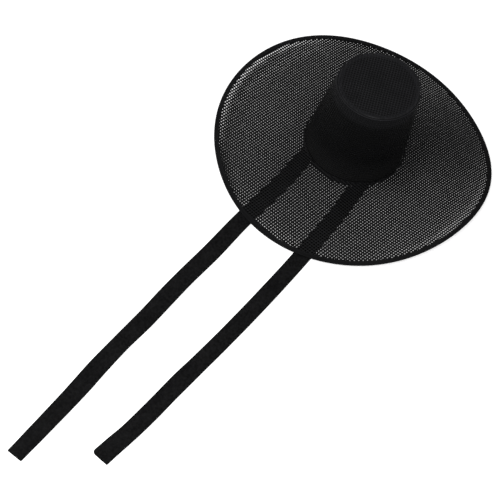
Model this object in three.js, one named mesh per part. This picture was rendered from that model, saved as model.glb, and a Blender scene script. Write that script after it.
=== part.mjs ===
// A gat: the tall-crowned, wide-brimmed black hat, with two flat ribbon ties.
// Millimetres, +Z up. The hat stands on its brim's edge by itself, Z is the
// hat's own axis, the floor is z = 0 and the ties lie on it towards -Y.
import * as THREE from 'three';
import { mergeVertices } from 'three/addons/utils/BufferGeometryUtils.js';

// ---- driving sizes --------------------------------------------------------
const GAP = 0.3;                 // left between pieces that touch
const TURN = 96;                 // steps round the brim and its binding
const CROWN_TURN = 72;           // steps round the crown

const BRIM_R = 220.5;            // binding's outer radius, mean
const BRIM_OVAL = 2.2;           // how much longer and shorter the brim's plan is
const BRIM_OVAL_AT = -3;         // degrees: where it is longest
const BRIM_T = 1.2;              // netting's thickness
const BIND_W = 7.5;              // folded edge tape: width, thickness and tape
const BIND_T = 3.4;
const BIND_SLOT = 4.2;           // how deep the netting's edge sits in the fold

const BAND_LOW = 15.6;           // headband's lower edge above the floor
const WALL_LOW = 26.8;           // crown wall's lower edge
const BRIM_IN_Z = 28.6;          // brim's height where it meets the crown
const TOP_Z = 171.4;             // crown's top face
const LEAN = { x: 12.0, y: 5.2, from: 15.6, to: 171.4 };   // the crown leans a little
const WALL_T = 1.6;
const TOP_T = 1.6;
const TOP_R = 61.9;              // top disc
const PIPE_R = 0.8;              // corded seam round the top: cord radius
const PIPE_AT = 63.1;            // and its ring radius
const BAND_T = 1.5;              // headband cloth
const BAND_UP = 14;              // how far it reaches up inside the wall

const TIE_T = 1.0;               // ribbon
const TIE_STEPS = 48;

// Waves of the brim's edge: how many go round, how high, where one peaks.
const WAVES = [
  { waves: 2, height: 15.2, peak: -11 },
  { waves: 3, height: 2.9, peak: -3 },
  { waves: 4, height: 2.0, peak: -6 },
];
const LOW_BACK = 72, LOW_FRONT = 262;     // degrees: where the edge is lowest
const FRONT_LIFT = 1.6;          // the front rests on a ribbon, not on the floor
// The edge's plan is not quite even either: how many go round, how far out, where one peaks.
const OUT = [
  { waves: 1, out: 0.76, peak: 9 },
  { waves: 3, out: 0.29, peak: 29 },
  { waves: 5, out: 0.3, peak: -20 },
  { waves: 6, out: 0.63, peak: 22.4 },
];

// Outer radius of the crown's wall by height.
const WALL = [
  { z: 26.8, r: 78.3 },
  { z: 60, r: 75.4 },
  { z: 100, r: 71.6 },
  { z: 140, r: 67.2 },
  { z: 169.5, r: 62.0 },
];

// Ribbons: the middle line and the width from under the crown's foot to the cut end.
const TIE_LEFT = [
  { x: -41.5, y: -56, z: 20.5, wide: 27 },
  { x: -43, y: -84, z: 14, wide: 27.5 },
  { x: -44.3, y: -112, z: 3.6, wide: 28 },
  { x: -45.8, y: -150, z: 0.6, wide: 28 },
  { x: -47.3, y: -222, z: 0.6, wide: 28.1 },
  { x: -45.7, y: -295, z: 0.9, wide: 29.1 },
  { x: -46.2, y: -360, z: 1.2, wide: 28.7 },
  { x: -45.4, y: -400, z: 1.6, wide: 29 },
  { x: -44.1, y: -445, z: 0.9, wide: 28.4 },
  { x: -44.5, y: -500, z: 0.6, wide: 27 },
  { x: -43, y: -550, z: 1.4, wide: 27.8 },
  { x: -41.3, y: -580, z: 1.2, wide: 28 },
  { x: -39.6, y: -625, z: 1, wide: 27.3 },
  { x: -38.6, y: -670, z: 0.8, wide: 26.2 },
  { x: -37.7, y: -721, z: 0.6, wide: 24.8 },
];
const TIE_RIGHT = [
  { x: 52.5, y: -47, z: 20.5, wide: 26 },
  { x: 54, y: -78, z: 14, wide: 26 },
  { x: 55.3, y: -108, z: 3.6, wide: 26 },
  { x: 57, y: -148, z: 0.6, wide: 26.5 },
  { x: 60.3, y: -222, z: 0.8, wide: 26.7 },
  { x: 61.8, y: -295, z: 1.4, wide: 26.7 },
  { x: 61.6, y: -355, z: 0.9, wide: 26.8 },
  { x: 60.9, y: -400, z: 0.9, wide: 26.7 },
  { x: 59.7, y: -445, z: 1.6, wide: 26.4 },
  { x: 57.7, y: -490, z: 0.9, wide: 27.5 },
  { x: 57.2, y: -520, z: 0.9, wide: 27 },
  { x: 57, y: -550, z: 1.2, wide: 27.1 },
  { x: 55.1, y: -595, z: 1.2, wide: 26.9 },
  { x: 52.1, y: -625, z: 0.8, wide: 27.8 },
  { x: 49.9, y: -650, z: 0.6, wide: 28.2 },
];
const CUT_LEFT = 0, CUT_RIGHT = 3;       // degrees: how slanted the ends are cut

// ---- helpers --------------------------------------------------------------
const rad = THREE.MathUtils.degToRad;

// Height of the edge's waves at an angle.
function waves(angle) {
  return WAVES.reduce((sum, w) => sum + w.height * Math.cos(w.waves * (angle - rad(w.peak))), 0);
}
// Tilt that brings both low points down, and the lift that puts them on the floor.
const lowBack = waves(rad(LOW_BACK)), lowFront = waves(rad(LOW_FRONT));
const TILT = (lowFront - lowBack - FRONT_LIFT) / (Math.sin(rad(LOW_BACK)) - Math.sin(rad(LOW_FRONT)));
const tilted = (angle) => waves(angle) + TILT * Math.sin(angle);
let lowest = 0;
for (let i = 0; i < TURN; i++) lowest = Math.min(lowest, tilted(2 * Math.PI * i / TURN));
const edgeZ = (angle) => tilted(angle) - lowest + BIND_T / 2;
const EDGE_MEAN = -lowest + BIND_T / 2;

function edgeR(angle) {
  const out = OUT.reduce((sum, w) => sum + w.out * Math.cos(w.waves * (angle - rad(w.peak))), 0);
  return BRIM_R + BRIM_OVAL * Math.cos(2 * (angle - rad(BRIM_OVAL_AT))) + out;
}
function row(table, z, key) {
  const last = table.length - 1;
  if (z <= table[0].z) return table[0][key];
  for (let i = 0; i < last; i++) {
    const a = table[i], b = table[i + 1];
    if (z <= b.z) return a[key] + (b[key] - a[key]) * (z - a.z) / (b.z - a.z);
  }
  return table[last][key];
}
const wallR = (z) => row(WALL, z, 'r');

// Middle height of the netting: level at the crown, waved and drooping at the edge.
function brimZ(r, angle) {
  const inner = wallR(BRIM_IN_Z);
  const f = Math.max(0, Math.min(1, (r - inner) / (edgeR(angle) - BIND_W / 2 - inner)));
  const droop = (EDGE_MEAN - BRIM_IN_Z) * Math.pow(f, 1.35);
  return BRIM_IN_Z + droop + (edgeZ(angle) - EDGE_MEAN) * Math.pow(f, 1.7);
}

// A closed, outward-facing solid from a geometry whose points are first moved.
function solid(geometry, move) {
  const g0 = geometry.clone();
  if (move) {
    const p = g0.getAttribute('position'), v = new THREE.Vector3();
    for (let i = 0; i < p.count; i++) {
      v.fromBufferAttribute(p, i);
      move(v);
      p.setXYZ(i, v.x, v.y, v.z);
    }
  }
  g0.deleteAttribute('normal');
  g0.deleteAttribute('uv');
  const g = mergeVertices(g0, 1e-4);
  const at = g.getAttribute('position'), old = g.getIndex().array, keep = [];
  const a = new THREE.Vector3(), b = new THREE.Vector3(), c = new THREE.Vector3();
  let volume = 0;
  for (let i = 0; i < old.length; i += 3) {
    const [i0, i1, i2] = [old[i], old[i + 1], old[i + 2]];
    if (i0 === i1 || i1 === i2 || i0 === i2) continue;
    a.fromBufferAttribute(at, i0); b.fromBufferAttribute(at, i1); c.fromBufferAttribute(at, i2);
    volume += a.dot(b.cross(c)) / 6;
    keep.push(i0, i1, i2);
  }
  if (volume < 0) for (let i = 0; i < keep.length; i += 3) [keep[i], keep[i + 1]] = [keep[i + 1], keep[i]];
  g.setIndex(keep);
  g.computeVertexNormals();
  return g;
}
// A closed profile of { r, z } turned round the Z axis.
function turned(profile, steps, onAxis = false) {
  const points = profile.map((p) => new THREE.Vector2(p.r, p.z));
  if (!onAxis) points.push(points[0].clone());
  return new THREE.LatheGeometry(points, steps).rotateX(Math.PI / 2);
}
const leanAt = (z) => Math.max(0, (z - LEAN.from) / (LEAN.to - LEAN.from));
function leaned(v) {
  v.x += LEAN.x * leanAt(v.z);
  v.y += LEAN.y * leanAt(v.z);
}
function cloth(name, geometry, color, roughness) {
  const mesh = new THREE.Mesh(geometry, new THREE.MeshStandardMaterial({ color, roughness, metalness: 0 }));
  mesh.name = name;
  return mesh;
}

// ---- crown ----------------------------------------------------------------
const wallOut = WALL.map((w) => ({ r: w.r, z: w.z }));
const wallIn = WALL.map((w) => ({ r: w.r - WALL_T, z: w.z })).reverse();
const crownSide = solid(turned([...wallOut, ...wallIn], CROWN_TURN), leaned);

const crownTop = solid(turned([
  { r: 0, z: TOP_Z - TOP_T }, { r: TOP_R - 0.4, z: TOP_Z - TOP_T }, { r: TOP_R, z: TOP_Z - TOP_T + 0.4 },
  { r: TOP_R, z: TOP_Z - 0.4 }, { r: TOP_R - 0.4, z: TOP_Z }, { r: 0, z: TOP_Z },
], CROWN_TURN, true), leaned);

const pipe = [];
for (let i = 0; i < 6; i++) {
  const t = 2 * Math.PI * i / 6;
  pipe.push({ r: PIPE_AT + PIPE_R * Math.cos(t), z: TOP_Z - 1.1 + PIPE_R * Math.sin(t) });
}
const crownPiping = solid(turned(pipe, CROWN_TURN), leaned);

// Headband: a shoulder that the wall stands on, and a leg up inside the wall.
const shoulder = WALL_LOW - GAP, foot = wallR(WALL_LOW);
const leg = (z) => wallR(z) - WALL_T - GAP;
const headband = solid(turned([
  { r: foot + 0.2, z: BAND_LOW + 0.6 }, { r: foot, z: shoulder },
  { r: leg(shoulder), z: shoulder }, { r: leg(WALL_LOW + BAND_UP), z: WALL_LOW + BAND_UP },
  { r: leg(WALL_LOW + BAND_UP) - BAND_T, z: WALL_LOW + BAND_UP }, { r: leg(WALL_LOW) - BAND_T, z: WALL_LOW },
  { r: foot - 2.6, z: BAND_LOW + 0.6 }, { r: foot - 1.6, z: BAND_LOW }, { r: foot - 0.8, z: BAND_LOW },
], CROWN_TURN), leaned);

// ---- brim -----------------------------------------------------------------
const BRIM_RINGS = 7;
const brimProfile = [];
for (let i = 0; i <= BRIM_RINGS; i++) brimProfile.push({ r: i / BRIM_RINGS, z: -1 });
for (let i = BRIM_RINGS; i >= 0; i--) brimProfile.push({ r: i / BRIM_RINGS, z: 1 });
// The profile's r runs from 0 at the crown to 1 in the binding's fold, shifted off the axis.
const brim = solid(turned(brimProfile.map((p) => ({ r: 1 + p.r, z: p.z })), TURN), (v) => {
  const angle = Math.atan2(v.y, v.x), f = Math.hypot(v.x, v.y) - 1, side = v.z;
  const inner = wallR(BRIM_IN_Z) + GAP + 0.15;
  const outer = edgeR(angle) - BIND_W + BIND_SLOT - GAP;
  const r = inner + (outer - inner) * f;
  const lean = leanAt(BRIM_IN_Z) * (1 - f);
  v.set(r * Math.cos(angle) + LEAN.x * lean, r * Math.sin(angle) + LEAN.y * lean,
    brimZ(r, angle) + side * BRIM_T / 2);
});

// Binding: a tape folded over the netting's edge, round a wire at the rim.
const half = BIND_T / 2, lip = BRIM_T / 2 + GAP;
const fold = [
  { u: -BIND_W, v: lip }, { u: -BIND_W, v: half - 0.25 }, { u: -BIND_W * 0.45, v: half }, { u: -1.1, v: half * 0.85 },
  { u: 0, v: half * 0.3 }, { u: 0, v: -half * 0.3 }, { u: -1.1, v: -half * 0.85 }, { u: -BIND_W * 0.45, v: -half },
  { u: -BIND_W, v: -half + 0.25 }, { u: -BIND_W, v: -lip }, { u: -BIND_W + BIND_SLOT, v: -lip }, { u: -BIND_W + BIND_SLOT, v: lip },
];
const binding = solid(turned(fold.map((p) => ({ r: 20 + p.u, z: p.v })), TURN), (v) => {
  const angle = Math.atan2(v.y, v.x), u = Math.hypot(v.x, v.y) - 20, h = v.z;
  const r = edgeR(angle) + u;
  v.set(r * Math.cos(angle), r * Math.sin(angle), brimZ(r, angle) + h);
});

// ---- ties -----------------------------------------------------------------
// A flat box bent along its middle line: cut round the headband at one end.
function tie(table, cut) {
  const line = new THREE.CatmullRomCurve3(table.map((p) => new THREE.Vector3(p.x, p.y, p.z)), false, 'centripetal');
  line.arcLengthDivisions = 800;
  const length = line.getLength();
  const centre = { x: LEAN.x * leanAt(BAND_LOW + 5), y: LEAN.y * leanAt(BAND_LOW + 5) };
  const clear = foot + 0.2 + GAP + 0.4;
  const wide = (y) => {
    const i = Math.max(0, Math.min(table.length - 2, table.findIndex((p) => p.y < y) - 1));
    const a = table[i], b = table[i + 1], f = Math.max(0, Math.min(1, (y - a.y) / (b.y - a.y)));
    return a.wide + (b.wide - a.wide) * f;
  };
  const at = (s, share) => {
    const u = Math.max(0, Math.min(1, s / length));
    const p = line.getPointAt(u), t = line.getTangentAt(u);
    const n = Math.hypot(t.x, t.y), across = share * wide(p.y);
    return { x: p.x - t.y / n * across, y: p.y + t.x / n * across, z: Math.max(p.z, TIE_T / 2 + 0.05) };
  };
  const start = (share) => {
    let s = 0;
    for (; s < 60; s += 0.05) {
      const p = at(s, share);
      if (Math.hypot(p.x - centre.x, p.y - centre.y) > clear) break;
    }
    return s;
  };
  return solid(new THREE.BoxGeometry(1, 1, 1, 2, TIE_STEPS, 1), (v) => {
    const share = v.x, f = v.y + 0.5, h = v.z * TIE_T;
    const slant = table[table.length - 1].wide * Math.tan(rad(cut));
    const s0 = start(share), s1 = length - Math.abs(slant) / 2 - slant * share;
    const p = at(s0 + (s1 - s0) * f, share);
    v.set(p.x, p.y, p.z + h);
  });
}

// ---- the hat --------------------------------------------------------------
const hat = new THREE.Group();
hat.add(
  cloth('crown_side', crownSide, 0x0d0d0e, 0.85),
  cloth('crown_top', crownTop, 0x141416, 0.85),
  cloth('crown_top_piping', crownPiping, 0x1c1c1f, 0.7),
  cloth('headband', headband, 0x19191d, 0.8),
  cloth('brim', brim, 0x101012, 0.7),
  cloth('brim_binding', binding, 0x0e0e10, 0.75),
  cloth('tie_left', tie(TIE_LEFT, CUT_LEFT), 0x151517, 0.8),
  cloth('tie_right', tie(TIE_RIGHT, CUT_RIGHT), 0x151517, 0.8),
);

export default hat;
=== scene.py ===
import bpy, math
from mathutils import Vector, Matrix, noise


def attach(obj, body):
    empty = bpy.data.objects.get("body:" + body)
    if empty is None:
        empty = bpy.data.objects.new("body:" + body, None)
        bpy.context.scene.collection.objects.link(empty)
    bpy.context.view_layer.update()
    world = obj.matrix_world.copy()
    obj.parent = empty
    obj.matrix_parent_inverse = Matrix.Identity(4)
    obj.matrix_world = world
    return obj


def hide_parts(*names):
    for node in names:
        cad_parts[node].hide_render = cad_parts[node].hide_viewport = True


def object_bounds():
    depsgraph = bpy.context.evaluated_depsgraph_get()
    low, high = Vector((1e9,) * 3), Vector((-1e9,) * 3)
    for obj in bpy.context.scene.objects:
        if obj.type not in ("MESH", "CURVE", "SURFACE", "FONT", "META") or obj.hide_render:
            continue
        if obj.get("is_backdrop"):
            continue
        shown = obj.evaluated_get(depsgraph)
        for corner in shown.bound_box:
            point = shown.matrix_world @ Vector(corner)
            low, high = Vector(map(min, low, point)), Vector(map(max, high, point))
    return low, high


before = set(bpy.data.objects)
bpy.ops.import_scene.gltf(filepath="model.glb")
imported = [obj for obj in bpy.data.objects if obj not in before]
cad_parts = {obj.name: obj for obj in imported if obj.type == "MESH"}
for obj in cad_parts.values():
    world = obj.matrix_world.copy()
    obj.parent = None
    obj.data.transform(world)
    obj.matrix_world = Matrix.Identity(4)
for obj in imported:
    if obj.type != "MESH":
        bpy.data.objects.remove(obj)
cad_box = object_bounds()

MM = 0.001
rad = math.radians

# ---------------------------------------------------------------------------
# Sizes, as in the part (millimetres)
BRIM_R, BRIM_OVAL, BRIM_OVAL_AT = 220.5, 2.2, -3.0
BIND_W, BIND_T = 7.5, 3.4
BAND_LOW, WALL_LOW, BRIM_IN_Z, TOP_Z = 15.6, 26.8, 28.6, 171.4
LEAN_X, LEAN_Y, LEAN_FROM, LEAN_TO = 12.0, 5.2, 15.6, 171.4
WALL_T, BAND_UP, BAND_T = 1.6, 14.0, 1.5
PIPE_AT, TOP_R = 63.1, 61.9
WAVES = [(2, 15.2, -11.0), (3, 2.9, -3.0), (4, 2.0, -6.0)]       # how many, height, peak
LOW_BACK, LOW_FRONT, FRONT_LIFT = 72.0, 262.0, 1.6
OUT = [(1, 0.76, 9.0), (3, 0.29, 29.0), (5, 0.3, -20.0), (6, 0.63, 22.4)]      # how many, how far out, peak
WALL = [(26.8, 78.3), (60.0, 75.4), (100.0, 71.6), (140.0, 67.2), (169.5, 62.0)]   # height, radius
# Ribbons: x, y and z of the middle line, and the width
TIE_LEFT = [
    (-41.5, -56, 20.5, 27), (-43, -84, 14, 27.5), (-44.3, -112, 3.6, 28), (-45.8, -150, 0.6, 28), (-47.3, -222, 0.6, 28.1),
    (-45.7, -295, 0.9, 29.1), (-46.2, -360, 1.2, 28.7), (-45.4, -400, 1.6, 29.0), (-44.1, -445, 0.9, 28.4),
    (-44.5, -500, 0.6, 27.0), (-43.0, -550, 1.4, 27.8), (-41.3, -580, 1.2, 28.0), (-39.6, -625, 1.0, 27.3),
    (-38.6, -670, 0.8, 26.2), (-37.7, -721, 0.6, 24.8)]
TIE_RIGHT = [
    (52.5, -47, 20.5, 26), (54, -78, 14, 26), (55.3, -108, 3.6, 26), (57, -148, 0.6, 26.5), (60.3, -222, 0.8, 26.7),
    (61.8, -295, 1.4, 26.7), (61.6, -355, 0.9, 26.8), (60.9, -400, 0.9, 26.7), (59.7, -445, 1.6, 26.4),
    (57.7, -490, 0.9, 27.5), (57.2, -520, 0.9, 27.0), (57.0, -550, 1.2, 27.1), (55.1, -595, 1.2, 26.9),
    (52.1, -625, 0.8, 27.8), (49.9, -650, 0.6, 28.2)]
CUT_LEFT, CUT_RIGHT = 0.0, 3.0


def waves(a):
    return sum(h * math.cos(k * (a - rad(p))) for k, h, p in WAVES)


_lb, _lf = waves(rad(LOW_BACK)), waves(rad(LOW_FRONT))
TILT = (_lf - _lb - FRONT_LIFT) / (math.sin(rad(LOW_BACK)) - math.sin(rad(LOW_FRONT)))


def tilted(a):
    return waves(a) + TILT * math.sin(a)


LOWEST = min(tilted(2 * math.pi * i / 96) for i in range(96))
EDGE_MEAN = -LOWEST + BIND_T / 2


def edge_z(a):
    return tilted(a) - LOWEST + BIND_T / 2


def edge_r(a):
    out = sum(h * math.cos(k * (a - rad(p))) for k, h, p in OUT)
    return BRIM_R + BRIM_OVAL * math.cos(2 * (a - rad(BRIM_OVAL_AT))) + out


def wall_r(z):
    # smooth through the table's rows
    zs = [w[0] for w in WALL]
    rs = [w[1] for w in WALL]
    if z <= zs[0]:
        return rs[0]
    if z >= zs[-1]:
        return rs[-1]
    n = len(zs)
    m = []
    for i in range(n):
        a, b = max(0, i - 1), min(n - 1, i + 1)
        m.append((rs[b] - rs[a]) / (zs[b] - zs[a]))
    for i in range(n - 1):
        if z <= zs[i + 1]:
            h = zs[i + 1] - zs[i]
            t = (z - zs[i]) / h
            return ((2 * t ** 3 - 3 * t * t + 1) * rs[i] + (t ** 3 - 2 * t * t + t) * h * m[i]
                    + (-2 * t ** 3 + 3 * t * t) * rs[i + 1] + (t ** 3 - t * t) * h * m[i + 1])


def lean(z):
    t = max(0.0, (z - LEAN_FROM) / (LEAN_TO - LEAN_FROM))
    return LEAN_X * t, LEAN_Y * t


def brim_z(r, a):
    inner = wall_r(BRIM_IN_Z)
    f = max(0.0, min(1.0, (r - inner) / (edge_r(a) - BIND_W / 2 - inner)))
    return (BRIM_IN_Z + (EDGE_MEAN - BRIM_IN_Z) * f ** 1.35 + (edge_z(a) - EDGE_MEAN) * f ** 1.7)


def wob(x, y, z, scale, seed=0.0):
    """Smooth noise about zero, from -1 to 1, over lengths of about scale mm."""
    return noise.noise(Vector((x / scale + seed, y / scale - seed * 0.7, z / scale + seed * 0.3)))


# ---------------------------------------------------------------------------
# Camera: from the front right and above, at the photograph's angle and roll
def aim(az, el, roll):
    az, el, roll = rad(az), rad(el), rad(roll)
    back = Vector((math.sin(az) * math.cos(el), -math.cos(az) * math.cos(el), math.sin(el)))
    right = Vector((math.cos(az), math.sin(az), 0.0))
    up = back.cross(right)
    r = right * math.cos(roll) + up * math.sin(roll)
    u = up * math.cos(roll) - right * math.sin(roll)
    return Matrix(((r.x, u.x, back.x), (r.y, u.y, back.y), (r.z, u.z, back.z)))


cam_data = bpy.data.cameras.new("camera")
cam_data.sensor_width = 36.0
cam_data.lens = 94.445
cam_data.clip_start = 0.05
cam_data.clip_end = 50.0
cam = bpy.data.objects.new("camera", cam_data)
cam.matrix_world = Matrix.Translation(Vector((0.5077, -1.1727, 1.6615))) @ aim(29.136, 57.626, 11.156).to_4x4()
bpy.context.scene.collection.objects.link(cam)
bpy.context.scene.camera = cam


# ---------------------------------------------------------------------------
# Mesh helpers
def new_object(name, verts, faces, material=None, smooth=True, uv=None):
    me = bpy.data.meshes.new(name)
    me.from_pydata([(v[0] * MM, v[1] * MM, v[2] * MM) for v in verts], [], faces)
    me.polygons.foreach_set("use_smooth", [smooth] * len(me.polygons))
    if uv is not None:
        layer = me.uv_layers.new(name="UVMap")
        flat = []
        for poly in me.polygons:
            flat += uv(poly)
        layer.data.foreach_set("uv", flat)
    me.validate()
    me.update()
    ob = bpy.data.objects.new(name, me)
    bpy.context.scene.collection.objects.link(ob)
    if material:
        me.materials.append(material)
    return ob


def ring_solid(name, section, steps, place, material, smooth=True, close=True):
    """A closed section of n points carried round: place(section point, angle) gives the position."""
    n = len(section)
    verts, faces = [], []
    for i in range(steps):
        a = 2 * math.pi * i / steps
        for p in section:
            verts.append(place(p, a))
    for i in range(steps):
        j = (i + 1) % steps
        for k in range(n):
            l = (k + 1) % n
            faces.append((i * n + k, j * n + k, j * n + l, i * n + l))
    lengths = [0.0]
    for k in range(n):
        p, q = section[k], section[(k + 1) % n]
        lengths.append(lengths[-1] + math.hypot(p[0] - q[0], p[1] - q[1]))

    def uv(poly):
        idx = poly.index
        i, k = divmod(idx, n)
        out = []
        for c, (di, dk) in enumerate(((0, 0), (1, 0), (1, 1), (0, 1))):
            out += [(i + di) / steps, lengths[k + dk] * 0.01]
        return out

    return new_object(name, verts, faces, material, smooth, uv)


def outward(ob):
    """Faces out: turned over if the mesh's volume comes out negative."""
    me = ob.data
    vol = 0.0
    co = [v.co for v in me.vertices]
    for p in me.polygons:
        v = [co[i] for i in p.vertices]
        for k in range(1, len(v) - 1):
            vol += v[0].dot(v[k].cross(v[k + 1])) / 6.0
    if vol < 0:
        me.flip_normals()
    return ob


def netting(name, cells, place, inside, hole, thick, material, wrap=None, open_cell=None):
    """Real netting: a thin sheet of strands with one rounded hole in each cell of a lattice.

    cells: the (i, j) lattice cells. place(u, v, h): position of lattice point (u, v), h mm off the middle.
    inside(u, v): the lattice point moved to the nearest place inside the outline. hole(u, v): the hole's
    half width as a share of the cell. Knots, where strands cross, are thicker than the strands between."""
    verts, faces, seen = [], [], {}

    def key(i2, j2):
        return (i2 % (2 * wrap), j2) if wrap else (i2, j2)

    def corner(i2, j2, side):
        k = (*key(i2, j2), side)
        if k not in seen:
            knot = i2 % 2 == 0 and j2 % 2 == 0
            u, v = inside(i2 / 2.0, j2 / 2.0)
            seen[k] = len(verts)
            verts.append(place(u, v, side * thick * (0.6 if knot else 0.4)))
        return seen[k]

    around = [(1, 0), (1, 1), (0, 1), (-1, 1), (-1, 0), (-1, -1), (0, -1), (1, -1)]
    edges = {}
    for (i, j) in cells:
        ci, cj = 2 * i + 1, 2 * j + 1
        top = [corner(ci + a, cj + b, 1) for a, b in around]
        low = [corner(ci + a, cj + b, -1) for a, b in around]
        rho = hole(ci / 2.0, cj / 2.0) if (open_cell is None or open_cell(ci / 2.0, cj / 2.0)) else 0.0
        if rho > 0.02:
            first = len(verts)
            for a, b in around:
                d = rho * (1.0 if a == 0 or b == 0 else 0.80)
                verts.append(place(ci / 2.0 + a * d, cj / 2.0 + b * d, 0.0))
            for k in range(8):
                l = (k + 1) % 8
                faces.append((top[k], top[l], first + l, first + k))
                faces.append((low[l], low[k], first + k, first + l))
        else:
            faces.append(tuple(top))
            faces.append(tuple(reversed(low)))
        for k in range(8):
            l = (k + 1) % 8
            e = (top[k], top[l])
            if (e[1], e[0]) in edges:
                del edges[(e[1], e[0])]
            else:
                edges[e] = (low[k], low[l])
    for (a, b), (c, d) in edges.items():
        faces.append((b, a, c, d))
    return outward(new_object(name, verts, faces, material))


# ---------------------------------------------------------------------------
# Materials
def nodes_of(name):
    mat = bpy.data.materials.new(name)
    mat.use_nodes = True
    nt = mat.node_tree
    bsdf = next(n for n in nt.nodes if n.type == "BSDF_PRINCIPLED")
    return mat, nt, bsdf


def add(nt, kind, **values):
    n = nt.nodes.new(kind)
    for k, v in values.items():
        if k in n.inputs:
            n.inputs[k].default_value = v
        else:
            setattr(n, k, v)
    return n


def mix_colors(nt, fac, a, b):
    m = nt.nodes.new("ShaderNodeMix")
    m.data_type = "RGBA"
    m.inputs[6].default_value = (*a, 1.0)
    m.inputs[7].default_value = (*b, 1.0)
    nt.links.new(fac, m.inputs[0])
    return m.outputs[2]


def ramp(nt, fac, lo, hi, out_lo=0.0, out_hi=1.0):
    m = nt.nodes.new("ShaderNodeMapRange")
    m.inputs["From Min"].default_value = lo
    m.inputs["From Max"].default_value = hi
    m.inputs["To Min"].default_value = out_lo
    m.inputs["To Max"].default_value = out_hi
    nt.links.new(fac, m.inputs["Value"])
    return m.outputs["Result"]


def by_height(nt, obj, face, painted_light):
    """Painted light by height: from one height to another (metres) the cloth takes the given colour."""
    if not painted_light:
        return face
    at = add(nt, "ShaderNodeSeparateXYZ")
    nt.links.new(obj, at.inputs[0])
    for lo, hi, color in painted_light:
        m = nt.nodes.new("ShaderNodeMix")
        m.data_type = "RGBA"
        nt.links.new(ramp(nt, at.outputs["Z"], lo, hi), m.inputs[0])
        nt.links.new(face, m.inputs[6])
        m.inputs[7].default_value = (*color, 1.0)
        face = m.outputs[2]
    return face


def cloth(name, dark, light, rough=(0.75, 0.9), weave=900.0, bump=0.25, patch=18.0, sheen=0.0, depth=0.0004, spec=0.25,
          painted_light=None):
    """Woven black cloth: two crossed threads, mottled, a little dust in the mottling."""
    mat, nt, bsdf = nodes_of(name)
    tc = add(nt, "ShaderNodeTexCoord")
    obj = tc.outputs["Object"]
    big = add(nt, "ShaderNodeTexNoise", Scale=patch, Detail=4.0, Roughness=0.55)
    nt.links.new(obj, big.inputs["Vector"])
    fine = add(nt, "ShaderNodeTexNoise", Scale=weave * 0.9, Detail=2.0, Roughness=0.6)
    nt.links.new(obj, fine.inputs["Vector"])
    wx = add(nt, "ShaderNodeTexWave", Scale=weave / 6.283, Distortion=1.2, Detail=1.0)
    wx.bands_direction = "X"
    wz = add(nt, "ShaderNodeTexWave", Scale=weave / 6.283, Distortion=1.2, Detail=1.0)
    wz.bands_direction = "Z"
    wy = add(nt, "ShaderNodeTexWave", Scale=weave / 6.283, Distortion=1.2, Detail=1.0)
    wy.bands_direction = "Y"
    for w in (wx, wy, wz):
        nt.links.new(obj, w.inputs["Vector"])
    m1 = add(nt, "ShaderNodeMath", operation="MAXIMUM")
    nt.links.new(wx.outputs["Fac"], m1.inputs[0])
    nt.links.new(wy.outputs["Fac"], m1.inputs[1])
    m2 = add(nt, "ShaderNodeMath", operation="MAXIMUM")
    nt.links.new(m1.outputs[0], m2.inputs[0])
    nt.links.new(wz.outputs["Fac"], m2.inputs[1])
    m3 = add(nt, "ShaderNodeMath", operation="MULTIPLY_ADD")
    nt.links.new(fine.outputs["Fac"], m3.inputs[0])
    m3.inputs[1].default_value = 0.6
    nt.links.new(m2.outputs[0], m3.inputs[2])
    tone = add(nt, "ShaderNodeMath", operation="MULTIPLY_ADD")
    nt.links.new(fine.outputs["Fac"], tone.inputs[0])
    tone.inputs[1].default_value = 0.5
    nt.links.new(ramp(nt, big.outputs["Fac"], 0.3, 0.7, -0.1, 0.6), tone.inputs[2])
    tone.use_clamp = True
    face = by_height(nt, obj, mix_colors(nt, tone.outputs[0], dark, light), painted_light)
    nt.links.new(face, bsdf.inputs["Base Color"])
    nt.links.new(ramp(nt, fine.outputs["Fac"], 0.3, 0.7, *rough), bsdf.inputs["Roughness"])
    b = add(nt, "ShaderNodeBump", Strength=bump, Distance=depth)
    nt.links.new(m3.outputs[0], b.inputs["Height"])
    nt.links.new(b.outputs["Normal"], bsdf.inputs["Normal"])
    bsdf.inputs["Specular IOR Level"].default_value = spec
    if sheen:
        bsdf.inputs["Sheen Weight"].default_value = sheen
        bsdf.inputs["Sheen Roughness"].default_value = 0.5
    return mat


def strand(name, dark, light, rough=(0.42, 0.6), spec=0.35, painted_light=None):
    """Stiff net strands: twisted filament, a soft gloss, varying a little from strand to strand."""
    mat, nt, bsdf = nodes_of(name)
    tc = add(nt, "ShaderNodeTexCoord")
    obj = tc.outputs["Object"]
    big = add(nt, "ShaderNodeTexNoise", Scale=30.0, Detail=3.0, Roughness=0.6)
    fine = add(nt, "ShaderNodeTexNoise", Scale=1600.0, Detail=2.0, Roughness=0.6)
    for n in (big, fine):
        nt.links.new(obj, n.inputs["Vector"])
    face = by_height(nt, obj, mix_colors(nt, ramp(nt, big.outputs["Fac"], 0.3, 0.7), dark, light), painted_light)
    nt.links.new(face, bsdf.inputs["Base Color"])
    nt.links.new(ramp(nt, fine.outputs["Fac"], 0.3, 0.7, *rough), bsdf.inputs["Roughness"])
    b = add(nt, "ShaderNodeBump", Strength=0.35, Distance=0.0001)
    nt.links.new(fine.outputs["Fac"], b.inputs["Height"])
    nt.links.new(b.outputs["Normal"], bsdf.inputs["Normal"])
    bsdf.inputs["Specular IOR Level"].default_value = spec
    return mat


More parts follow.
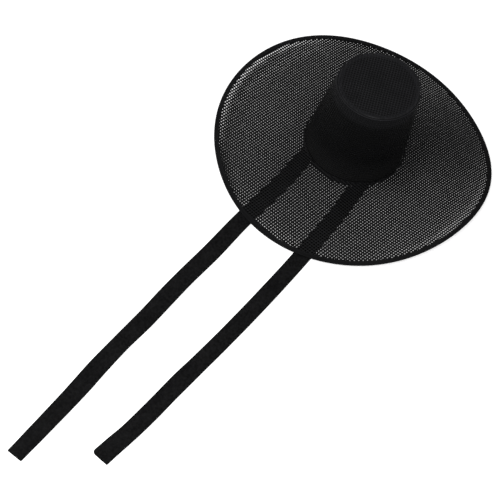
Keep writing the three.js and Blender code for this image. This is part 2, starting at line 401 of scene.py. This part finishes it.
def ribbon_material(name):
    """Ribbed ribbon: fine ribs run across it, the two woven edges are denser and darker."""
    mat, nt, bsdf = nodes_of(name)
    tc = add(nt, "ShaderNodeTexCoord")
    uvm = add(nt, "ShaderNodeUVMap")
    uvm.uv_map = "UVMap"
    sep = add(nt, "ShaderNodeSeparateXYZ")
    nt.links.new(uvm.outputs["UV"], sep.inputs[0])
    # across: 0 at one edge, 1 at the other; along: metres
    edge = add(nt, "ShaderNodeMath", operation="SUBTRACT")
    nt.links.new(sep.outputs["X"], edge.inputs[0])
    edge.inputs[1].default_value = 0.5
    ab = add(nt, "ShaderNodeMath", operation="ABSOLUTE")
    nt.links.new(edge.outputs[0], ab.inputs[0])
    selvedge = ramp(nt, ab.outputs[0], 0.455, 0.475)
    rib = add(nt, "ShaderNodeMath", operation="MULTIPLY")
    nt.links.new(sep.outputs["Y"], rib.inputs[0])
    rib.inputs[1].default_value = 2 * math.pi / 0.0015
    sn = add(nt, "ShaderNodeMath", operation="SINE")
    nt.links.new(rib.outputs[0], sn.inputs[0])
    mid = add(nt, "ShaderNodeTexNoise", Scale=300.0, Detail=3.0, Roughness=0.65)
    big = add(nt, "ShaderNodeTexNoise", Scale=28.0, Detail=3.0, Roughness=0.55)
    fine = add(nt, "ShaderNodeTexNoise", Scale=2200.0, Detail=1.0)
    for n in (mid, big, fine):
        nt.links.new(tc.outputs["Object"], n.inputs["Vector"])
    tone = add(nt, "ShaderNodeMath", operation="MULTIPLY_ADD")
    nt.links.new(ramp(nt, mid.outputs["Fac"], 0.36, 0.64), tone.inputs[0])
    tone.inputs[1].default_value = 0.7
    nt.links.new(ramp(nt, big.outputs["Fac"], 0.3, 0.7, 0.0, 0.3), tone.inputs[2])
    tone.use_clamp = True
    face = mix_colors(nt, tone.outputs[0], (0.0001, 0.0001, 0.0002), (0.0068, 0.0068, 0.0071))
    m = nt.nodes.new("ShaderNodeMix")
    m.data_type = "RGBA"
    nt.links.new(selvedge, m.inputs[0])
    nt.links.new(face, m.inputs[6])
    m.inputs[7].default_value = (0.0013, 0.0013, 0.0014, 1.0)
    nt.links.new(m.outputs[2], bsdf.inputs["Base Color"])
    nt.links.new(ramp(nt, mid.outputs["Fac"], 0.3, 0.7, 0.68, 0.86), bsdf.inputs["Roughness"])
    h = add(nt, "ShaderNodeMath", operation="MULTIPLY_ADD")
    nt.links.new(fine.outputs["Fac"], h.inputs[0])
    h.inputs[1].default_value = 0.8
    nt.links.new(sn.outputs[0], h.inputs[2])
    b = add(nt, "ShaderNodeBump", Strength=0.35, Distance=0.00012)
    nt.links.new(h.outputs[0], b.inputs["Height"])
    nt.links.new(b.outputs["Normal"], bsdf.inputs["Normal"])
    bsdf.inputs["Specular IOR Level"].default_value = 0.06
    return mat


# Painted light on the crown wall: lighter towards the foot, lifting the shade under the brim, and lighter in a band at
# the top, where more light falls.
WALL_PAINTED_LIGHT = [(0.148, 0.156, (0.0048, 0.0048, 0.0053)), (0.080, 0.040, (0.0056, 0.0056, 0.0058))]
M_LINING = cloth("crown_lining_cloth", (0.0016, 0.0016, 0.0017), (0.0027, 0.0027, 0.0029), weave=1500.0, bump=0.3, spec=0.04, painted_light=WALL_PAINTED_LIGHT)
# Painted light: the top's cloth is a lighter copy of the wall's lining, for the stronger light on the flat top.
M_TOP = cloth("crown_top_cloth_painted_light", (0.0037, 0.0037, 0.0039), (0.0068, 0.0068, 0.0072), weave=1500.0, bump=0.3, spec=0.05)
M_TURNING = cloth("seam_cloth", (0.0070, 0.0070, 0.0080), (0.0127, 0.0127, 0.0139), weave=1500.0, bump=0.3, spec=0.06)
M_BAND = cloth("headband_cloth", (0.0130, 0.0130, 0.0150), (0.0220, 0.0220, 0.0250), weave=1300.0, bump=0.35, spec=0.06)
M_TAPE = cloth("binding_tape_cloth", (0.0029, 0.0029, 0.0031), (0.0064, 0.0064, 0.0070), weave=1500.0, bump=0.35, spec=0.05)
M_NET = strand("brim_net_strand", (0.0019, 0.0019, 0.0021), (0.0040, 0.0040, 0.0044), spec=0.08)
# The wall's net takes the same painted light by height as the lining.
M_CROWN_NET = strand("crown_net_strand", (0.0015, 0.0015, 0.0016), (0.0027, 0.0027, 0.0030), spec=0.05, painted_light=WALL_PAINTED_LIGHT)
# Painted light: the top's net is a lighter copy of the wall's net, for the stronger light on the flat top.
M_TOP_NET = strand("top_net_strand_painted_light", (0.0057, 0.0057, 0.0065), (0.0102, 0.0102, 0.0113), spec=0.1)
M_THREAD = strand("sewing_thread", (0.0050, 0.0050, 0.0054), (0.0090, 0.0090, 0.0097), rough=(0.5, 0.65), spec=0.1)
M_RIBBON = ribbon_material("ribbon_cloth")

made = []


def piece(ob, slot, *nodes):
    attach(ob, "root")
    if nodes:
        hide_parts(*nodes)
    made.append(ob)
    return ob


# ---------------------------------------------------------------------------
# Ribbon ties (the free cords of this hat: flat, lying on the floor)
def spline(points):
    """Centripetal curve through the rows, as many short steps with their lengths."""
    pts = [Vector(p[:3]) for p in points]
    ext = [pts[0] * 2 - pts[1]] + pts + [pts[-1] * 2 - pts[-2]]
    out = []
    for k in range(1, len(ext) - 2):
        p0, p1, p2, p3 = ext[k - 1], ext[k], ext[k + 1], ext[k + 2]
        t0 = 0.0
        t1 = t0 + math.sqrt((p1 - p0).length)
        t2 = t1 + math.sqrt((p2 - p1).length)
        t3 = t2 + math.sqrt((p3 - p2).length)
        for s in range(60):
            t = t1 + (t2 - t1) * s / 60.0
            a1 = p0 * ((t1 - t) / (t1 - t0)) + p1 * ((t - t0) / (t1 - t0))
            a2 = p1 * ((t2 - t) / (t2 - t1)) + p2 * ((t - t1) / (t2 - t1))
            a3 = p2 * ((t3 - t) / (t3 - t2)) + p3 * ((t - t2) / (t3 - t2))
            b1 = a1 * ((t2 - t) / (t2 - t0)) + a2 * ((t - t0) / (t2 - t0))
            b2 = a2 * ((t3 - t) / (t3 - t1)) + a3 * ((t - t1) / (t3 - t1))
            out.append(b1 * ((t2 - t) / (t2 - t1)) + b2 * ((t - t1) / (t2 - t1)))
    out.append(pts[-1])
    for p in out:
        p.z = max(p.z, 0.55)
    dist = [0.0]
    for a, b in zip(out, out[1:]):
        dist.append(dist[-1] + (b - a).length)
    return out, dist


def on_line(line, dist, s):
    s = max(0.0, min(dist[-1], s))
    lo, hi = 0, len(dist) - 1
    while hi - lo > 1:
        m = (lo + hi) // 2
        if dist[m] <= s:
            lo = m
        else:
            hi = m
    t = (s - dist[lo]) / max(1e-9, dist[hi] - dist[lo])
    a, b = max(0, lo - 2), min(len(line) - 1, hi + 2)
    return line[lo].lerp(line[hi], t), (line[b] - line[a]).normalized()


def tie(name, table, cut, seed, corners):
    """corners: how far each end corner (left, right) is rounded off, mm."""
    line, dist = spline(table)
    total = dist[-1]
    cx, cy = lean(BAND_LOW + 5)
    clear = wall_r(WALL_LOW) + 0.32                        # sewn on: it ends right at the headband's face
    STEP, ACROSS = 0.75, 18

    def wide(y):
        for a, b in zip(table, table[1:]):
            if y >= b[1]:
                break
        f = max(0.0, min(1.0, (y - a[1]) / (b[1] - a[1])))
        f = f * f * (3 - 2 * f)
        return a[3] + (b[3] - a[3]) * f

    def at(s, share):
        p, t = on_line(line, dist, s)
        n = math.hypot(t.x, t.y)
        across = share * wide(p.y)
        return Vector((p.x - t.y / n * across, p.y + t.x / n * across, p.z)), t

    def start(share):
        s = 0.0
        while s < 60:
            p, _ = at(s, share)
            if math.hypot(p.x - cx, p.y - cy) > clear:
                break
            s += 0.1
        return s

    # section: a thin web with a rounded, slightly thicker woven edge each side (share of width, half thickness)
    web, bead = 0.34, 0.46
    up = [(-0.5, 0.2), (-0.492, 0.36), (-0.475, bead), (-0.455, 0.40), (-0.44, web)]
    up += [(-0.42 + 0.84 * k / ACROSS, web) for k in range(ACROSS + 1)]
    up += [(0.44, web), (0.455, 0.40), (0.475, bead), (0.492, 0.36), (0.5, 0.2)]
    ring = up + [(x, -h) for x, h in reversed(up)]
    n = len(ring)
    slant = table[-1][3] * math.tan(rad(cut))
    starts = {x: start(x) for x, _ in up}

    def end(x):
        e = total - abs(slant) / 2 - slant * x
        for side, c in ((-1, corners[0]), (1, corners[1])):
            near = (0.5 - side * x) * table[-1][3]          # mm from that side's edge
            if near < c:
                e -= c - math.sqrt(max(0.0, c * c - (c - near) ** 2))
        return e

    ends = {x: end(x) for x, _ in up}
    rings = int((total - min(starts.values())) / STEP)
    verts, faces, path = [], [], []
    for i in range(rings + 1):
        f = i / rings
        for x, h in ring:
            s = starts[x] + (ends[x] - starts[x]) * f
            p, t = at(s, x * (1.0 + 0.006 * wob(s, 0, 0, 40.0, seed)))
            # lying on the floor it ripples a little: one edge or the other lifts
            loose = min(1.0, max(0.0, (s - 150) / 90.0))
            lift = loose * (0.55 * (wob(s, 3.0, 0, 55.0, seed + 3) + 0.35) + 2 * x * 1.1 * wob(s, 9.0, 0, 80.0, seed + 7))
            rib = (0.045 if i % 2 else -0.045) if abs(x) < 0.44 else 0.0
            hh = h + (rib if h > 0 else -rib)
            z = p.z + max(0.0, lift) + hh
            verts.append((p.x, p.y, max(z, 0.03)))
        p, _ = at(starts[up[len(up) // 2][0]] * (1 - f) + ends[up[len(up) // 2][0]] * f, 0.0)
        path.append((p.x * MM, p.y * MM, p.z * MM))
    for i in range(rings):
        for k in range(n):
            l = (k + 1) % n
            faces.append((i * n + k, i * n + l, (i + 1) * n + l, (i + 1) * n + k))
    strip = len(up)

    def cap(base, flip):
        for k in range(strip - 1):
            q = (base + k, base + k + 1, base + n - 2 - k, base + n - 1 - k)
            faces.append(q if flip else tuple(reversed(q)))

    cap(0, False)
    cap(rings * n, True)
    mid = up[len(up) // 2][0]
    length = ends[mid] - starts[mid]

    def uv(poly):
        out = []
        for vi in poly.vertices:
            i, k = divmod(vi, n)
            out += [ring[k][0] + 0.5, (i / rings) * length * MM]
        return out

    ob = new_object(name, verts, faces, M_RIBBON, True, uv)
    outward(ob)
    return ob, path, length * MM


for name, table, cut, seed, corners in (("tie_left", TIE_LEFT, CUT_LEFT, 11.3, (1.2, 2.0)),
                                        ("tie_right", TIE_RIGHT, CUT_RIGHT, 42.7, (6.5, 1.2))):
    ob, path, length = tie("ribbon_" + name, table, cut, seed, corners)
    piece(ob, "ribbon", name)


# ---------------------------------------------------------------------------
# Crown lining: the dense dark cloth under the net, a little uneven
def crown_point(r, a, z):
    dx, dy = lean(z)
    return (dx + r * math.cos(a), dy + r * math.sin(a), z)


def dent(a, z):
    """The wall's slight unevenness."""
    return 0.22 * wob(math.cos(a) * 70, math.sin(a) * 70, z, 48.0, 5.0) + 0.05 * wob(math.cos(a) * 70, math.sin(a) * 70, z, 15.0, 9.0)


heights = [WALL_LOW + (169.5 - WALL_LOW) * k / 30 for k in range(31)]
section = [(0.0, z) for z in heights] + [(-WALL_T, z) for z in reversed(heights)]


def lining(p, a):
    fade = min(1.0, (p[1] - WALL_LOW) / 10.0, (169.5 - p[1]) / 8.0)
    return crown_point(wall_r(p[1]) - 0.5 + p[0] * 0.7 + dent(a, p[1]) * max(0.0, fade), a, p[1])


ob = outward(ring_solid("crown_lining", section, 180, lining, M_LINING))
piece(ob, "crown_cloth", "crown_side")

# The net over the wall: knots in rows round the crown
AROUND, UP = 104, 34
PITCH_UP = (169.3 - WALL_LOW) / UP


def side_net(u, v, h):
    z = WALL_LOW + v * PITCH_UP
    a = 2 * math.pi * u / AROUND + 0.008 * wob(u, v, 0, 14.0, 2.0)
    fade = max(0.0, min(1.0, (z - WALL_LOW) / 10.0, (169.5 - z) / 8.0))
    return crown_point(wall_r(z) - 0.12 + dent(a, z) * fade + h, a, z + 0.25 * wob(u, v, 3.0, 11.0, 4.0) * fade)


ob = netting("crown_net_side", [(i, j) for i in range(AROUND) for j in range(UP)], side_net, lambda u, v: (u, v),
             lambda u, v: 0.37, 0.45, M_CROWN_NET, wrap=AROUND)
piece(ob, "crown_cloth")

# Flat top: a disc of lining, the turned-in seam allowance as a ring on it, and the net over both
def disc_solid(name, rings, z_of, thick, material, steps=144, seed=0.0):
    """rings: radii from the middle out; z_of(r, a) the upper face's height."""
    verts, faces = [], []
    for side in (0, 1):
        verts.append((lean(TOP_Z)[0], lean(TOP_Z)[1], z_of(0.0, 0.0) - side * thick))
        for r in rings[1:]:
            for i in range(steps):
                a = 2 * math.pi * i / steps
                x, y, _ = crown_point(r, a, TOP_Z)
                verts.append((x, y, z_of(r, a) - side * thick))
    n = 1 + (len(rings) - 1) * steps
    for side in (0, 1):
        b = side * n
        for i in range(steps):
            j = (i + 1) % steps
            f = (b, b + 1 + i, b + 1 + j)
            faces.append(f if side == 0 else tuple(reversed(f)))
            for k in range(len(rings) - 2):
                o, q = b + 1 + k * steps, b + 1 + (k + 1) * steps
                f = (o + i, q + i, q + j, o + j)
                faces.append(f if side == 0 else tuple(reversed(f)))
    o = 1 + (len(rings) - 2) * steps
    for i in range(steps):
        j = (i + 1) % steps
        faces.append((o + i, n + o + i, n + o + j, o + j))
    return outward(new_object(name, verts, faces, material))


def top_z(r, a):
    """The top's face: nearly flat, a touch slack in the middle."""
    x, y = r * math.cos(a), r * math.sin(a)
    return TOP_Z - 0.55 - 0.35 * (1 - (r / TOP_R) ** 2) + 0.25 * wob(x, y, 0, 30.0, 8.0) * min(1.0, (TOP_R - r) / 12.0)


ob = disc_solid("crown_disc", [TOP_R * k / 14 for k in range(15)], top_z, 1.0, M_TOP)
piece(ob, "crown_cloth", "crown_top")

section = [(55.2, 0), (55.6, 1), (57.5, 1), (59.5, 1), (61.4, 1), (61.4, 0), (59.5, 0), (57.5, 0)]


def turning(p, a):
    r = p[0] + (0.4 * wob(math.cos(a) * 50, math.sin(a) * 50, 0, 16.0, 6.0) if p[0] < 56 else 0.0)
    x, y, _ = crown_point(r, a, TOP_Z)
    return (x, y, top_z(r, a) + (0.30 if p[1] else 0.04))


ob = outward(ring_solid("crown_seam_turning", section, 144, turning, M_TURNING))
piece(ob, "crown_cloth")

section = [(0.42 * math.cos(2 * math.pi * k / 8), 0.42 * math.sin(2 * math.pi * k / 8)) for k in range(8)]


def hem_point(p, a):
    r = 56.6 + p[0] + 0.35 * wob(math.cos(a) * 50, math.sin(a) * 50, 0, 16.0, 6.0)
    x, y, _ = crown_point(r, a, TOP_Z)
    return (x, y, top_z(r, a) + 0.72 + p[1] * (1.0 + 0.25 * math.cos(a * 120)))


ob = outward(ring_solid("crown_top_hem_line", section, 480, hem_point, M_TURNING))
piece(ob, "crown_cloth")

T_PITCH, T_TURN = 4.15, rad(24.0)
T_MAX = 61.6


def top_lattice(u, v):
    x, y = u * T_PITCH, v * T_PITCH
    return x * math.cos(T_TURN) - y * math.sin(T_TURN), x * math.sin(T_TURN) + y * math.cos(T_TURN)


def top_net(u, v, h):
    x, y = top_lattice(u, v)
    x += 0.35 * wob(u, v, 0, 9.0, 1.5)
    y += 0.35 * wob(u, v, 5.0, 9.0, 2.5)
    r, a = math.hypot(x, y), math.atan2(y, x)
    if r > T_MAX:
        x, y, r = x * T_MAX / r, y * T_MAX / r, T_MAX
    dx, dy = lean(TOP_Z)
    return (dx + x, dy + y, top_z(r, a) + 0.62 + h)


def top_cells():
    out = []
    for i in range(-17, 17):
        for j in range(-17, 17):
            if any(math.hypot(*top_lattice(i + a, j + b)) < T_MAX for a in (0, 1) for b in (0, 1)):
                out.append((i, j))
    return out


ob = netting("crown_net_top", top_cells(), top_net, lambda u, v: (u, v), lambda u, v: 0.36, 0.42, M_TOP_NET,
             open_cell=lambda u, v: math.hypot(*top_lattice(u, v)) < T_MAX - 2.2)
piece(ob, "crown_cloth")

# Seam cord round the top: a folded edge, whipped over with thread
section = [(0.78 * math.cos(2 * math.pi * k / 10), 0.78 * math.sin(2 * math.pi * k / 10)) for k in range(10)]


def cord_point(p, a):
    pinch = 1.0 + 0.05 * math.cos(a * 190)
    r = PIPE_AT + p[0] * pinch + 0.12 * wob(math.cos(a) * 60, math.sin(a) * 60, 0, 12.0, 3.0)
    x, y, _ = crown_point(r, a, TOP_Z)
    return (x, y, TOP_Z - 1.02 + p[1] * pinch + 0.12 * wob(math.cos(a) * 60, math.sin(a) * 60, 7, 18.0, 3.0))


ob = outward(ring_solid("crown_seam_cord", section, 760, cord_point, M_TURNING))
piece(ob, "binding_tape", "crown_top_piping")

# ---------------------------------------------------------------------------
# Headband: a folded cloth band, its leg up inside the wall
foot = wall_r(WALL_LOW)
sh = WALL_LOW - 0.3


def leg(z):
    return wall_r(z) - WALL_T - 0.3


section = [
    (foot - 0.1, BAND_LOW + 1.3), (foot + 0.05, BAND_LOW + 4), (foot, BAND_LOW + 8), (foot - 0.05, sh - 0.5), (foot - 0.5, sh),
    (leg(sh), sh + 0.02), (leg(30) + 0.02, 30), (leg(36), 36), (leg(40.4), 40.3), (leg(40.8) - 0.6, WALL_LOW + BAND_UP),
    (leg(40.4) - BAND_T, 40.2), (leg(34) - BAND_T, 34), (leg(WALL_LOW) - BAND_T, WALL_LOW), (foot - 3.0, 21.5),
    (foot - 2.7, BAND_LOW + 1.2), (foot - 2.0, BAND_LOW + 0.2), (foot - 1.3, BAND_LOW), (foot - 0.6, BAND_LOW + 0.35),
]


def band(p, a):
    r = p[0] + 0.22 * wob(math.cos(a) * 75, math.sin(a) * 75, p[1], 22.0, 12.0) * (1.0 if p[1] < 26 else 0.0)
    return crown_point(r, a, p[1] + (0.25 * (1 + wob(math.cos(a) * 75, math.sin(a) * 75, 0, 30.0, 13.0)) if p[1] < BAND_LOW + 2 else 0.0))


ob = outward(ring_solid("headband_cloth_band", section, 216, band, M_BAND))
piece(ob, "headband_cloth", "headband")


# ---------------------------------------------------------------------------
# Sewn stitches: short sunk threads along a line
def stitches(name, count, share, radius, at, slot, sink=0.0):
    """at(t) gives the point (t in turns) and the outward normal of the cloth there."""
    verts, faces = [], []
    for i in range(count):
        t0 = (i + 0.5 - share / 2) / count
        t1 = (i + 0.5 + share / 2) / count
        rows = 5
        base = len(verts)
        for k in range(rows):
            f = k / (rows - 1)
            p, nrm = at(t0 + (t1 - t0) * f)
            q, _ = at(t0 + (t1 - t0) * f + 1e-4)
            tang = (Vector(q) - Vector(p)).normalized()
            side = tang.cross(nrm).normalized()
            bulge = math.sin(math.pi * f)
            c = Vector(p) + Vector(nrm) * (bulge * radius * 0.9 - radius * 0.55 - sink)
            rr = radius * (0.55 + 0.45 * bulge)
            for m in range(6):
                w = 2 * math.pi * m / 6
                verts.append(tuple(c + side * (rr * math.cos(w)) + Vector(nrm) * (rr * math.sin(w))))
        for k in range(rows - 1):
            for m in range(6):
                l = (m + 1) % 6
                faces.append((base + k * 6 + m, base + k * 6 + l, base + (k + 1) * 6 + l, base + (k + 1) * 6 + m))
        faces.append(tuple(base + m for m in reversed(range(6))))
        faces.append(tuple(base + (rows - 1) * 6 + m for m in range(6)))
    ob = outward(new_object(name, verts, faces, M_THREAD))
    return piece(ob, slot)


def band_line(z, out):
    def at(t):
        a = 2 * math.pi * t
        n = Vector((math.cos(a), math.sin(a), 0.0))
        return crown_point(foot + 0.02 + out, a, z), n
    return at


stitches("headband_stitches", 150, 0.62, 0.27, band_line(BAND_LOW + 2.6, 0.0), "headband_cloth")

# ---------------------------------------------------------------------------
# Brim: stiff netting, cut from one flat piece, its lattice running straight across the hat
# How the netting is laid and pulled: mesh rows counted along two ways, by powers of x and y in units of 100 mm
# (power of x, power of y, rows across, rows along)
PULL = [
    (1, 0, 23.417, 2.074), (0, 1, -4.436, 23.314),
    (2, 0, 0.391, -0.751), (1, 1, 0.290, -0.079), (0, 2, 0.374, -0.558),
    (3, 0, -0.039, -0.026), (2, 1, -0.143, 0.227), (1, 2, -0.116, -0.059), (0, 3, -0.067, 0.040),
]
R_IN = wall_r(BRIM_IN_Z) + 1.0
NET_T = 0.8
OPEN = 0.186


def mesh_count(x, y):
    """Rows counted to a place, and how fast they change there."""
    x, y = x / 100.0, y / 100.0
    u = v = ux = uy = vx = vy = 0.0
    for i, j, a, b in PULL:
        xi, yj = x ** i, y ** j
        u += a * xi * yj
        v += b * xi * yj
        dx = i * x ** (i - 1) * yj if i else 0.0
        dy = j * xi * y ** (j - 1) if j else 0.0
        ux, uy, vx, vy = ux + a * dx, uy + a * dy, vx + b * dx, vy + b * dy
    return u, v, ux, uy, vx, vy


_places = {}


def lattice(u, v):
    """Where mesh row u across and v along meet; the net is also never quite even."""
    k = (round(u, 4), round(v, 4))
    if k in _places:
        return _places[k]
    x, y = u * 4.13, v * 4.2
    for _ in range(5):
        cu, cv, ux, uy, vx, vy = mesh_count(x, y)
        eu, ev = u - cu, v - cv
        det = ux * vy - uy * vx
        x += 100.0 * (eu * vy - ev * uy) / det
        y += 100.0 * (ev * ux - eu * vx) / det
    x, y = x + 0.07 * wob(x, y, 0, 14.0, 23.0), y + 0.07 * wob(x, y, 9.0, 14.0, 24.0)
    _places[k] = (x, y)
    return x, y


def inner_centre():
    return lean(BRIM_IN_Z)


CX, CY = inner_centre()


def brim_net(u, v, h):
    x, y = lattice(u, v)
    a = math.atan2(y, x)
    r = math.hypot(x, y)
    out = edge_r(a) - 3.6
    if r > out:
        x, y, r = x * out / r, y * out / r, out
    ri = math.hypot(x - CX, y - CY)
    if ri < R_IN:
        s = R_IN / max(ri, 1e-6)
        x, y = CX + (x - CX) * s, CY + (y - CY) * s
        r, a = math.hypot(x, y), math.atan2(y, x)
    z = brim_z(r, a) + 0.5 * wob(x, y, 0, 60.0, 31.0) * min(1.0, max(0.0, (out - r) / 25.0), max(0.0, (ri - R_IN) / 20.0))
    return (x, y, z + h)


def within(x, y, margin):
    a = math.atan2(y, x)
    return math.hypot(x, y) < edge_r(a) - 3.6 - margin and math.hypot(x - CX, y - CY) > R_IN + margin


def brim_cells(front):
    out = []
    for i in range(-60, 60):
        for j in range(-60, 60):
            if (j < 0) != front:
                continue
            if any(within(*lattice(i + a, j + b), 0.0) for a in (0, 1) for b in (0, 1)):
                out.append((i, j))
    return out


def bump(x, middle, width):
    return math.exp(-((x - middle) / width) ** 2)


def turn_from(a, degrees):
    return (math.degrees(a) - degrees + 180.0) % 360.0 - 180.0


def brim_hole(u, v):
    """Hole sizes, set to stand in for light and shade seen through the net. Painted light: the holes are larger in the
    last rows at the rim's raised sides, and a little inside the right rim, where lit floor shows through.
    Painted shade: they are closer in a band inside the raised left side and at the front left rim for the binding's
    shadow, in a wide zone at the back right and round the crown's foot for the crown's shadow, and beside the back left
    rim."""
    x, y = lattice(u, v)
    a = math.atan2(y, x)
    inside = edge_r(a) - BIND_W - math.hypot(x, y)              # mm in from the binding
    f = 1.0 - inside / (edge_r(a) - BIND_W - R_IN)
    left = bump(turn_from(a, 184.0), 0.0, 42.0)
    last = max(0.0, min(1.0, (10.5 - 3.0 * left - inside) / 1.2))
    band = 15.0 - 7.0 * max(0.0, min(1.0, (math.degrees(a) % 360.0 - 202.0) / 26.0))     # mm in from the binding
    size = 1.0 + 0.03 * wob(x, y, 0, 14.0, 33.0)
    # Painted shade where shadow falls and painted light where lit floor shows, all carried by the hole sizes below.
    size -= 0.36 * bump(turn_from(a, 51.0), 0.0, 27.0 + 14.0 * (1.0 - f)) + 0.10 * bump(f, 0.0, 0.2)
    size -= 0.08 * bump(turn_from(a, 145.0), 0.0, 38.0) + 0.30 * left * bump(inside, band, 6.0)
    size += last * (0.50 * bump(turn_from(a, 175.0), 0.0, 34.0) + 0.31 * bump(turn_from(a, 352.0), 0.0, 34.0))
    size -= last * 0.22 * bump(turn_from(a, 124.0), 0.0, 20.0) + 0.62 * bump(inside, 0.0, 6.0) * bump(turn_from(a, 230.0), 0.0, 13.0)
    size += 0.06 * bump(inside, 22.0, 10.0) * bump(turn_from(a, 345.0), 0.0, 45.0)
    # Painted shade: closer round the crown's foot on the right and in front, and beside the back left rim
    size -= 0.16 * bump(turn_from(a, 4.0), 0.0, 28.0) * bump(f, 0.1, 0.18) + 0.08 * bump(turn_from(a, 62.0), 0.0, 22.0) * bump(f, 0.25, 0.3)
    size -= 0.15 * bump(turn_from(a, 246.0), 0.0, 24.0) * bump(f, 0.35, 0.24) + 0.06 * bump(turn_from(a, 280.0), 0.0, 18.0) * bump(f, 0.35, 0.24)
    size -= 0.15 * bump(turn_from(a, 130.0), 0.0, 17.0) * bump(f, 0.97, 0.14) + 0.09 * left * bump(inside, 28.0, 11.0)
    return OPEN * size


for name, front in (("brim_net_front", True), ("brim_net_back", False)):
    ob = netting(name, brim_cells(front), brim_net, lambda u, v: (u, v), brim_hole, NET_T, M_NET,
                 open_cell=lambda u, v: within(*lattice(u, v), 1.75))
    piece(ob, "brim_netting", "brim")

# The seam cord between the netting and the crown's foot
section = [(0.42 * math.cos(2 * math.pi * k / 8), 0.42 * math.sin(2 * math.pi * k / 8)) for k in range(8)]


def foot_seam(p, a):
    pinch = 1.0 + 0.06 * math.cos(a * 130)
    return crown_point(wall_r(BRIM_IN_Z) + 0.62 + p[0] * pinch, a, BRIM_IN_Z + p[1] * pinch)


ob = outward(ring_solid("brim_seam_cord", section, 520, foot_seam, M_NET))
piece(ob, "brim_netting")

# Binding: tape folded over the edge and over a wire at the rim
section = []
BEAD = 1.62
for k in range(9):                                   # round the wire, from below to above
    w = rad(-118 + 236 * k / 8)
    section.append((-1.66 + BEAD * math.cos(w), BEAD * math.sin(w)))
section += [(-3.2, 1.12), (-4.6, 1.18), (-6.2, 1.12), (-7.1, 0.98), (-7.45, 0.78), (-7.4, 0.58)]
section += [(-4.4, 0.56), (-3.45, 0.5), (-3.45, -0.5), (-4.4, -0.56)]
section += [(-7.4, -0.58), (-7.45, -0.78), (-7.1, -0.98), (-6.2, -1.12), (-4.6, -1.18), (-3.2, -1.12)]


def tape(p, a):
    u, h = p
    if u < -5.5:
        u += 0.35 * wob(math.cos(a) * 220, math.sin(a) * 220, 1.0 if h > 0 else 9.0, 26.0, 41.0)
    pucker = 0.10 * math.cos(a * 380) * (1.0 if -7.2 < u < -4.0 else 0.2)
    r = edge_r(a) + u
    return (r * math.cos(a), r * math.sin(a), brim_z(r, a) + h + (pucker if h > 0 else -pucker) * (abs(h) > 0.7))


ob = outward(ring_solid("brim_binding_tape", section, 760, tape, M_TAPE))
piece(ob, "binding_tape", "brim_binding")


def tape_line(u, h):
    def at(t):
        a = 2 * math.pi * t
        r = edge_r(a) + u
        n = Vector((0, 0, 1.0 if h > 0 else -1.0))
        return (r * math.cos(a), r * math.sin(a), brim_z(r, a) + h), n
    return at


stitches("binding_stitches_upper", 380, 0.6, 0.26, tape_line(-5.6, 1.16), "binding_tape", sink=0.02)
stitches("binding_stitches_lower", 380, 0.6, 0.26, tape_line(-5.6, -1.16), "binding_tape", sink=0.02)


# ---------------------------------------------------------------------------
# Floor and light
mat, nt, bsdf = nodes_of("floor_paper")
tc = add(nt, "ShaderNodeTexCoord")
fn = add(nt, "ShaderNodeTexNoise", Scale=3.0, Detail=2.0)
nt.links.new(tc.outputs["Object"], fn.inputs["Vector"])
nt.links.new(mix_colors(nt, fn.outputs["Fac"], (0.90, 0.90, 0.90), (0.93, 0.93, 0.93)), bsdf.inputs["Base Color"])
bsdf.inputs["Roughness"].default_value = 0.9
bsdf.inputs["Specular IOR Level"].default_value = 0.2
# a white studio table, lit a little from below, so that hardly any shadow shows round the hat
bsdf.inputs["Emission Color"].default_value = (1.0, 1.0, 1.0, 1.0)
bsdf.inputs["Emission Strength"].default_value = 0.25
me = bpy.data.meshes.new("floor")
S = 12.0
me.from_pydata([(-S, -S, 0), (S, -S, 0), (S, S, 0), (-S, S, 0)], [], [(0, 1, 2, 3)])
me.materials.append(mat)
floor = bpy.data.objects.new("floor", me)
floor.location.z = -0.0003
bpy.context.scene.collection.objects.link(floor)
floor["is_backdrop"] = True

world = bpy.data.worlds.new("studio")
world.use_nodes = True
bg = next(n for n in world.node_tree.nodes if n.type == "BACKGROUND")
bg.inputs["Color"].default_value = (1.0, 1.0, 1.0, 1.0)
bg.inputs["Strength"].default_value = 0.38
bpy.context.scene.world = world


def area(name, place, target, size, power):
    d = bpy.data.lights.new(name, "AREA")
    d.shape = "DISK"
    d.size = size
    d.energy = power
    o = bpy.data.objects.new(name, d)
    back = (Vector(place) - Vector(target)).normalized()
    o.matrix_world = Matrix.Translation(Vector(place)) @ back.to_track_quat("Z", "Y").to_matrix().to_4x4()
    bpy.context.scene.collection.objects.link(o)
    return o


area("key", (-1.95, -0.85, 1.75), (0.0, -0.1, 0.0), 0.9, 36.0)
area("fill", (0.69, -1.53, 2.25), (0.0, -0.1, 0.0), 0.9, 62.0)

bpy.context.scene.view_settings.view_transform = "Standard"

({"cad": [list(v) if hasattr(v, "__len__") else v for v in cad_box],
           "visual": [list(v) if hasattr(v, "__len__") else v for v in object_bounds()]})
